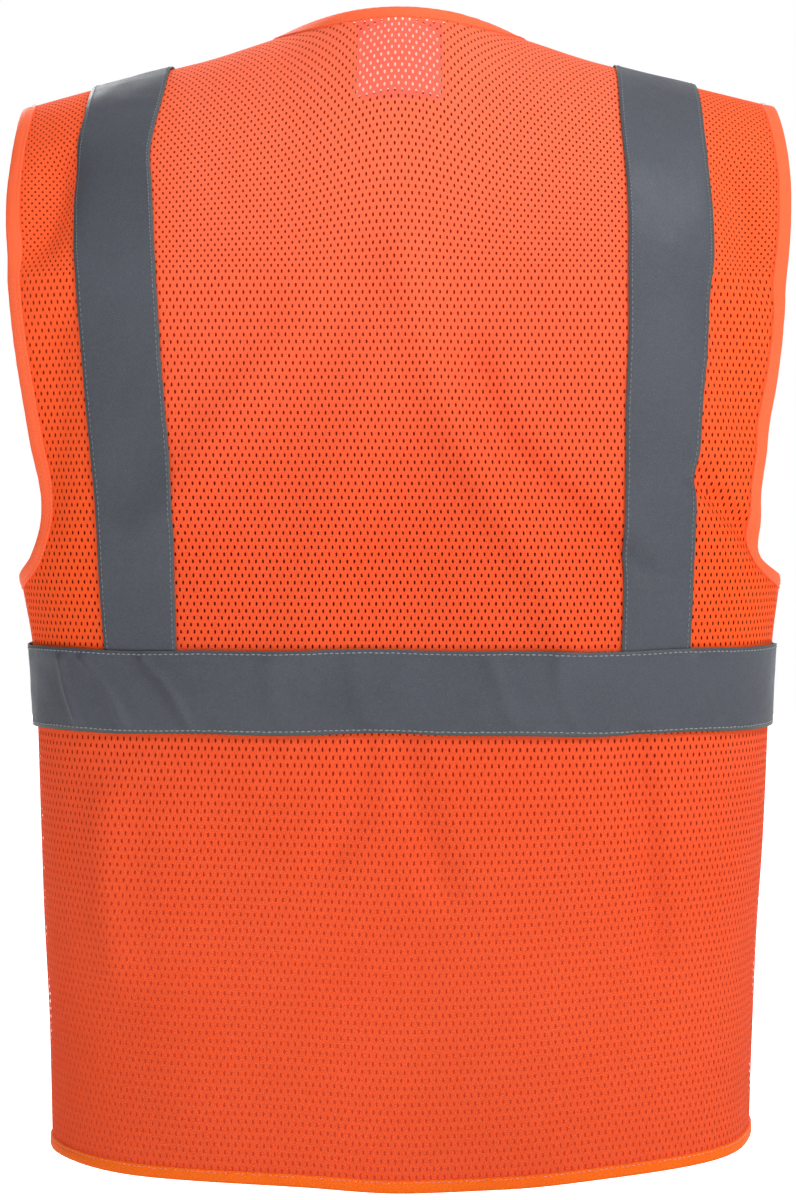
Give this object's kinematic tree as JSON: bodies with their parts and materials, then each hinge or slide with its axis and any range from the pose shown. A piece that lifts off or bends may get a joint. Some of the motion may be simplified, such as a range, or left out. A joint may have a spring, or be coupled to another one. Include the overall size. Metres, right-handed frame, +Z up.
{
  "type": "high visibility vest",
  "caption": "Sleeveless orange mesh safety vest with grey reflective waist and brace tapes, front zip, flapped pockets and bound edges, in its worn shape.",
  "frame": {"origin": "where the vest rests on the shoulders, level with the points where the neck edge meets the shoulder seams, midway between them", "axes": "+Z up along the wearer's spine, the zip faces -Y, +X towards the wearer's left"},
  "size_m": [0.496, 0.2726, 0.7309],
  "materials": {
    "orange_mesh": "warp-knit open mesh, fluorescent orange",
    "orange_cloth": "plain knitted fluorescent orange cloth",
    "orange_binding": "folded fluorescent orange binding",
    "reflective_tape": "grey glass-bead retroreflective tape",
    "zip_tape": "woven zip tape",
    "zip_plastic": "moulded zip teeth and ends",
    "slider_metal": "lacquered zinc slider and pull",
    "touch_tape": "hook and loop touch tape",
    "clear_window": "clear flexible vinyl",
    "label_cloth": "blank woven label"
  },
  "bodies": {
    "back": {"back_panel": "orange_mesh", "waist_tape_back": "reflective_tape", "neck_binding_back": "orange_binding", "hem_binding_back": "orange_binding", "neck_label": "label_cloth", "brace_tape_back_left": "reflective_tape", "armhole_binding_back_left": "orange_binding", "brace_tape_back_right": "reflective_tape", "armhole_binding_back_right": "orange_binding"},
    "left_front": {"front_panel_left": "orange_mesh", "waist_tape_left": "reflective_tape", "brace_tape_front_left": "reflective_tape", "neck_binding_left": "orange_binding", "armhole_binding_front_left": "orange_binding", "hem_binding_left": "orange_binding", "zip_facing_left": "orange_binding", "zip_tape_left": "zip_tape", "zip_chain_left": "zip_plastic", "zip_top_stop_left": "zip_plastic", "lower_pocket_left": "orange_cloth", "lower_loop_tape_left": "touch_tape", "zip_pin": "zip_plastic", "phone_pocket": "orange_cloth", "phone_loop_tape": "touch_tape"},
    "right_front": {"front_panel_right": "orange_mesh", "waist_tape_right": "reflective_tape", "brace_tape_front_right": "reflective_tape", "neck_binding_right": "orange_binding", "armhole_binding_front_right": "orange_binding", "hem_binding_right": "orange_binding", "zip_facing_right": "orange_binding", "zip_tape_right": "zip_tape", "zip_chain_right": "zip_plastic", "zip_top_stop_right": "zip_plastic", "lower_pocket_right": "orange_cloth", "lower_loop_tape_right": "touch_tape", "zip_retainer_box": "zip_plastic", "id_pocket": "orange_cloth", "id_window": "clear_window"},
    "lower_left_flap": {"lower_flap_left": "orange_cloth", "lower_hook_tape_left": "touch_tape"},
    "lower_right_flap": {"lower_flap_right": "orange_cloth", "lower_hook_tape_right": "touch_tape"},
    "phone_pocket_flap": {"phone_flap": "orange_cloth", "phone_hook_tape": "touch_tape"},
    "slider": {"zip_slider": "slider_metal"},
    "pull": {"zip_pull": "slider_metal"}
  },
  "joints": [
    {"name": "left_front_swing", "type": "hinge", "parent": "back", "child": "left_front", "pos_m": [0.2515, 0, -0.349], "axis": [0.0602, 0, 0.9982], "range_deg": [0, 30]},
    {"name": "right_front_swing", "type": "hinge", "parent": "back", "child": "right_front", "pos_m": [-0.2515, 0, -0.349], "axis": [0.0602, 0, -0.9982], "range_deg": [0, 30]},
    {"name": "zip_slide", "type": "slide", "parent": "left_front", "child": "slider", "axis": [0, 0, -1], "range_m": [0, 0.505]},
    {"name": "zip_pull_swing", "type": "hinge", "parent": "slider", "child": "pull", "pos_m": [0, -0.1285, -0.184], "axis": [-1, 0, 0], "range_deg": [0, 130]},
    {"name": "lower_left_flap_lift", "type": "hinge", "parent": "left_front", "child": "lower_left_flap", "pos_m": [0.03347, -0.13702, -0.457], "axis": [-0.9877, -0.1563, 0], "range_deg": [0, 110]},
    {"name": "lower_right_flap_lift", "type": "hinge", "parent": "right_front", "child": "lower_right_flap", "pos_m": [-0.03347, -0.13702, -0.457], "axis": [-0.9877, 0.1563, 0], "range_deg": [0, 110]},
    {"name": "phone_flap_lift", "type": "hinge", "parent": "left_front", "child": "phone_pocket_flap", "pos_m": [0.02811, -0.13, -0.222], "axis": [-0.9991, -0.0432, 0], "range_deg": [0, 110]}
  ]
}
